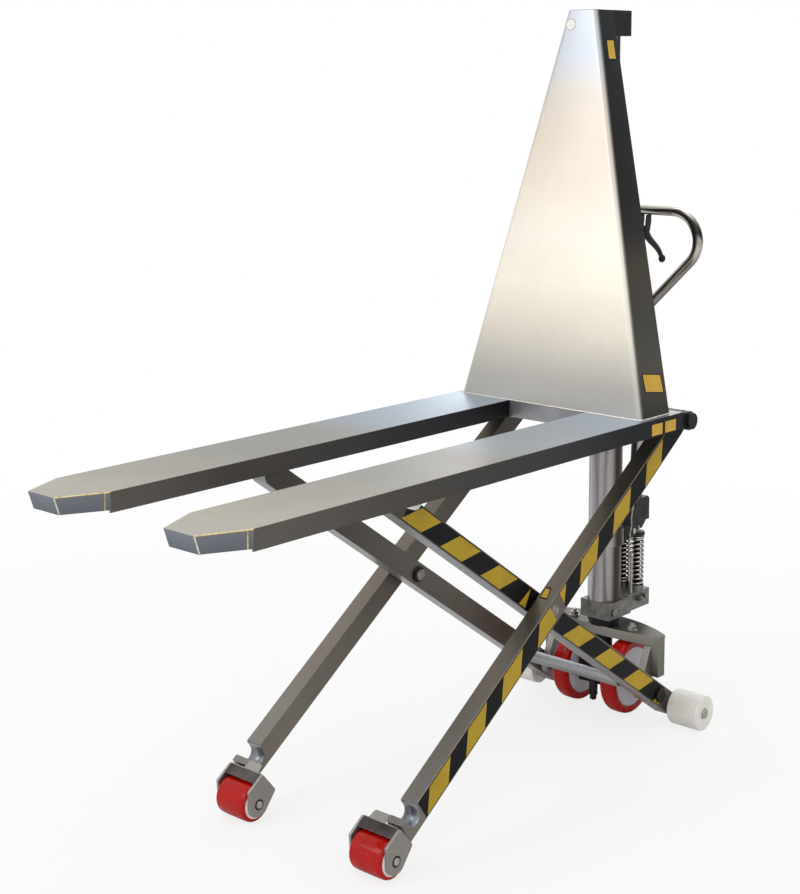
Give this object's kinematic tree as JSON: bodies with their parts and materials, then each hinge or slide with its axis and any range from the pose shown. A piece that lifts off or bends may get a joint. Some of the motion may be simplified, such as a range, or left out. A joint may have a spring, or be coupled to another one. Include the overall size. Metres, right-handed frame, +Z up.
{
  "type": "scissor pallet truck",
  "caption": "Stainless scissor pallet truck with raised forks, a tapered mast, a hand pump with a looped tiller, and striped lifting arms.",
  "frame": {"origin": "on the floor, under the middle of the whole truck's box, with the forks raised", "axes": "+Z up, forks pointing along -Y, tiller at +Y, X across the truck"},
  "size_m": [0.562, 1.756, 1.682],
  "materials": {
    "brushed_steel": "brushed stainless plate",
    "dark_steel": "dull machined steel",
    "black": "satin black",
    "red_tread": "moulded polyurethane",
    "white_nylon": "matt moulded nylon",
    "grey_hub": "matt moulded nylon",
    "black_plastic": "matt",
    "bright_steel": "polished"
  },
  "bodies": {
    "chassis": {"bridge": "brushed_steel", "foot_plates": "brushed_steel", "lower_pins": "dark_steel", "bridge_bolts": "dark_steel", "lower_race": "black"},
    "steering": {"upper_race": "black", "wheel_carrier": "dark_steel", "wheel_axle": "dark_steel", "axle_caps": "bright_steel", "carrier_stay": "dark_steel", "pump_block": "dark_steel", "pump_fittings": "bright_steel", "cylinder_tube": "brushed_steel", "gland": "dark_steel", "release_rod": "bright_steel", "tiller_bracket": "dark_steel", "tiller_pin": "bright_steel", "spring_left": "dark_steel", "spring_right": "dark_steel"},
    "wheel_left": {"wheel_hub_left": "grey_hub", "wheel_tread_left": "red_tread"},
    "wheel_right": {"wheel_hub_right": "grey_hub", "wheel_tread_right": "red_tread"},
    "pump_plungers": {"plungers": "bright_steel", "spring_cap": "dark_steel"},
    "tiller": {"tiller_base": "dark_steel", "tiller_shaft": "bright_steel", "tiller_loop": "bright_steel", "lever_bracket": "black_plastic"},
    "presser": {"presser_roller": "bright_steel"},
    "control_lever": {"lever": "black_plastic"},
    "inner_frame": {"inner_arm_left": "brushed_steel", "inner_arm_right": "brushed_steel", "cross_tube": "dark_steel", "center_pins": "dark_steel", "stab_axles": "dark_steel", "top_pins": "bright_steel"},
    "stabiliser_left": {"stab_roller_left": "white_nylon", "stab_bush_left": "black_plastic"},
    "stabiliser_right": {"stab_roller_right": "white_nylon", "stab_bush_right": "black_plastic"},
    "top_left": {"top_roller_left": "white_nylon"},
    "top_right": {"top_roller_right": "white_nylon"},
    "outer_frame": {"outer_arm_left": "brushed_steel", "outer_arm_right": "brushed_steel", "yoke_left": "brushed_steel", "yoke_right": "brushed_steel", "load_pins": "bright_steel"},
    "load_left": {"load_tread_left": "red_tread", "load_hub_left": "white_nylon"},
    "load_right": {"load_tread_right": "red_tread", "load_hub_right": "white_nylon"},
    "carriage": {"fork_left": "brushed_steel", "fork_right": "brushed_steel", "fork_noses": "brushed_steel", "cross_member": "brushed_steel", "upper_ears": "brushed_steel", "mast_cover": "brushed_steel", "mast_cap": "brushed_steel", "lift_rod": "bright_steel"}
  },
  "joints": [
    {"name": "lift", "type": "hinge", "parent": "chassis", "child": "inner_frame", "pos_m": [0, 0.597, 0.079], "axis": [1, 0, 0], "range_deg": [0, 34.77]},
    {"name": "scissor", "type": "hinge", "parent": "inner_frame", "child": "outer_frame", "pos_m": [0, 0.11599, 0.413], "axis": [1, 0, 0], "range_deg": [-69.55, 0]},
    {"name": "deck_level", "type": "hinge", "parent": "outer_frame", "child": "carriage", "pos_m": [0, 0.597, 0.747], "axis": [1, 0, 0], "range_deg": [0, 34.77]},
    {"name": "steer", "type": "hinge", "parent": "chassis", "child": "steering", "pos_m": [0, 0.635, 0], "axis": [0, 0, 1], "range_deg": [-70, 70]},
    {"name": "wheel_left_spin", "type": "hinge", "parent": "steering", "child": "wheel_left", "pos_m": [0.07, 0.635, 0.09], "axis": [1, 0, 0], "continuous": true},
    {"name": "wheel_right_spin", "type": "hinge", "parent": "steering", "child": "wheel_right", "pos_m": [-0.07, 0.635, 0.09], "axis": [1, 0, 0], "continuous": true},
    {"name": "tiller_stroke", "type": "hinge", "parent": "steering", "child": "tiller", "pos_m": [0, 0.709, 0.425], "axis": [1, 0, 0], "range_deg": [-45, 0], "stiffness_Nm_per_rad": 40, "springref_deg": 28.65},
    {"name": "plunger_stroke", "type": "slide", "parent": "steering", "child": "pump_plungers", "axis": [0, 0, -1], "range_m": [0, 0.03], "deforming": ["spring_left", "spring_right"]},
    {"name": "presser_spin", "type": "hinge", "parent": "tiller", "child": "presser", "pos_m": [0, 0.747, 0.425], "axis": [1, 0, 0], "continuous": true},
    {"name": "lever_turn", "type": "hinge", "parent": "tiller", "child": "control_lever", "pos_m": [0, 0.783, 1.159], "axis": [1, 0, 0], "range_deg": [-15, 30]},
    {"name": "stabiliser_left_spin", "type": "hinge", "parent": "inner_frame", "child": "stabiliser_left", "pos_m": [0.2385, 0.65173, 0.041], "axis": [1, 0, 0], "continuous": true},
    {"name": "stabiliser_right_spin", "type": "hinge", "parent": "inner_frame", "child": "stabiliser_right", "pos_m": [-0.2385, 0.65173, 0.041], "axis": [1, 0, 0], "continuous": true},
    {"name": "top_left_spin", "type": "hinge", "parent": "inner_frame", "child": "top_left", "pos_m": [0.218, -0.32711, 0.73042], "axis": [1, 0, 0], "continuous": true},
    {"name": "top_right_spin", "type": "hinge", "parent": "inner_frame", "child": "top_right", "pos_m": [-0.218, -0.32711, 0.73042], "axis": [1, 0, 0], "continuous": true},
    {"name": "load_left_spin", "type": "hinge", "parent": "outer_frame", "child": "load_left", "pos_m": [0.19, -0.38907, 0.04], "axis": [1, 0, 0], "continuous": true},
    {"name": "load_right_spin", "type": "hinge", "parent": "outer_frame", "child": "load_right", "pos_m": [-0.19, -0.38907, 0.04], "axis": [1, 0, 0], "continuous": true}
  ],
  "couplings": [
    {"joint": "scissor", "follows": "lift", "ratio": -2},
    {"joint": "deck_level", "follows": "lift", "ratio": 1},
    {"joint": "plunger_stroke", "follows": "tiller_stroke", "m_per_rad": -0.038}
  ]
}
